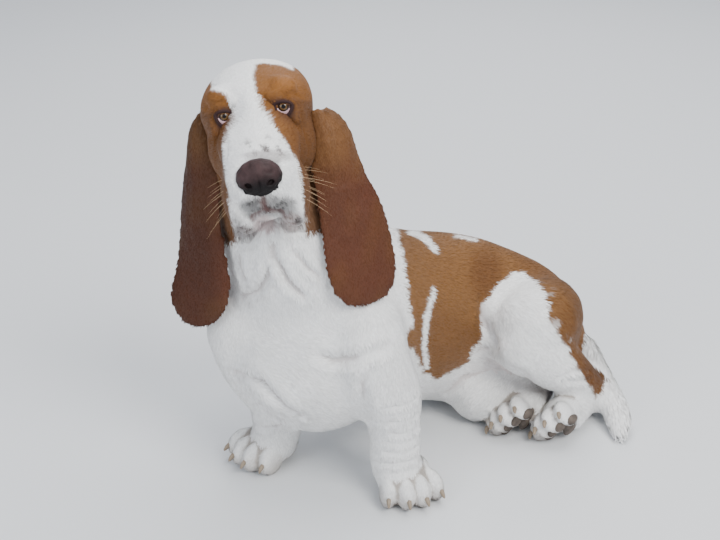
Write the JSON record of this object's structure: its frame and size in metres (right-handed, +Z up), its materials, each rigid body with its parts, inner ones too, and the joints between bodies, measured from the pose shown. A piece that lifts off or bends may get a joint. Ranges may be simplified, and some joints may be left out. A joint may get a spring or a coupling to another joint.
{
  "type": "basset hound model",
  "caption": "Life-size still model of a basset hound with long ears and a loose white, tan and red-brown coat, sitting on one hip with its head raised.",
  "frame": {"origin": "middle of the base of the dog's box, on the floor", "axes": "+Z up, +Y from the chest to the rump, +X to the dog's left"},
  "size_m": [0.3312, 0.5712, 0.5177],
  "materials": {
    "coat_white": "short white hair",
    "coat_tan": "short tan hair",
    "ear_brown": "velvety red-brown hair",
    "nose_leather": "moist, finely pebbled skin",
    "eye": "wet and clear",
    "claw": "dull horn"
  },
  "bodies": {
    "root": {"torso": "coat_tan", "neck": "coat_white", "head": "coat_tan", "nose": "nose_leather", "eye_left": "eye", "eye_right": "eye", "ear_left": "ear_brown", "ear_right": "ear_brown", "foreleg_left": "coat_white", "foreleg_right": "coat_white", "forepaw_left": "coat_white", "forepaw_right": "coat_white", "hindleg_left": "coat_white", "hindleg_right": "coat_white", "hindpaw_left": "coat_white", "hindpaw_right": "coat_white", "tail": "coat_white", "forepaw_left_claw_1": "claw", "forepaw_left_claw_2": "claw", "forepaw_left_claw_3": "claw", "forepaw_left_claw_4": "claw", "forepaw_right_claw_1": "claw", "forepaw_right_claw_2": "claw", "forepaw_right_claw_3": "claw", "forepaw_right_claw_4": "claw", "hindpaw_left_claw_1": "claw", "hindpaw_left_claw_2": "claw", "hindpaw_left_claw_3": "claw", "hindpaw_left_claw_4": "claw", "hindpaw_right_claw_1": "claw", "hindpaw_right_claw_2": "claw", "hindpaw_right_claw_3": "claw", "hindpaw_right_claw_4": "claw"}
  },
  "joints": []
}
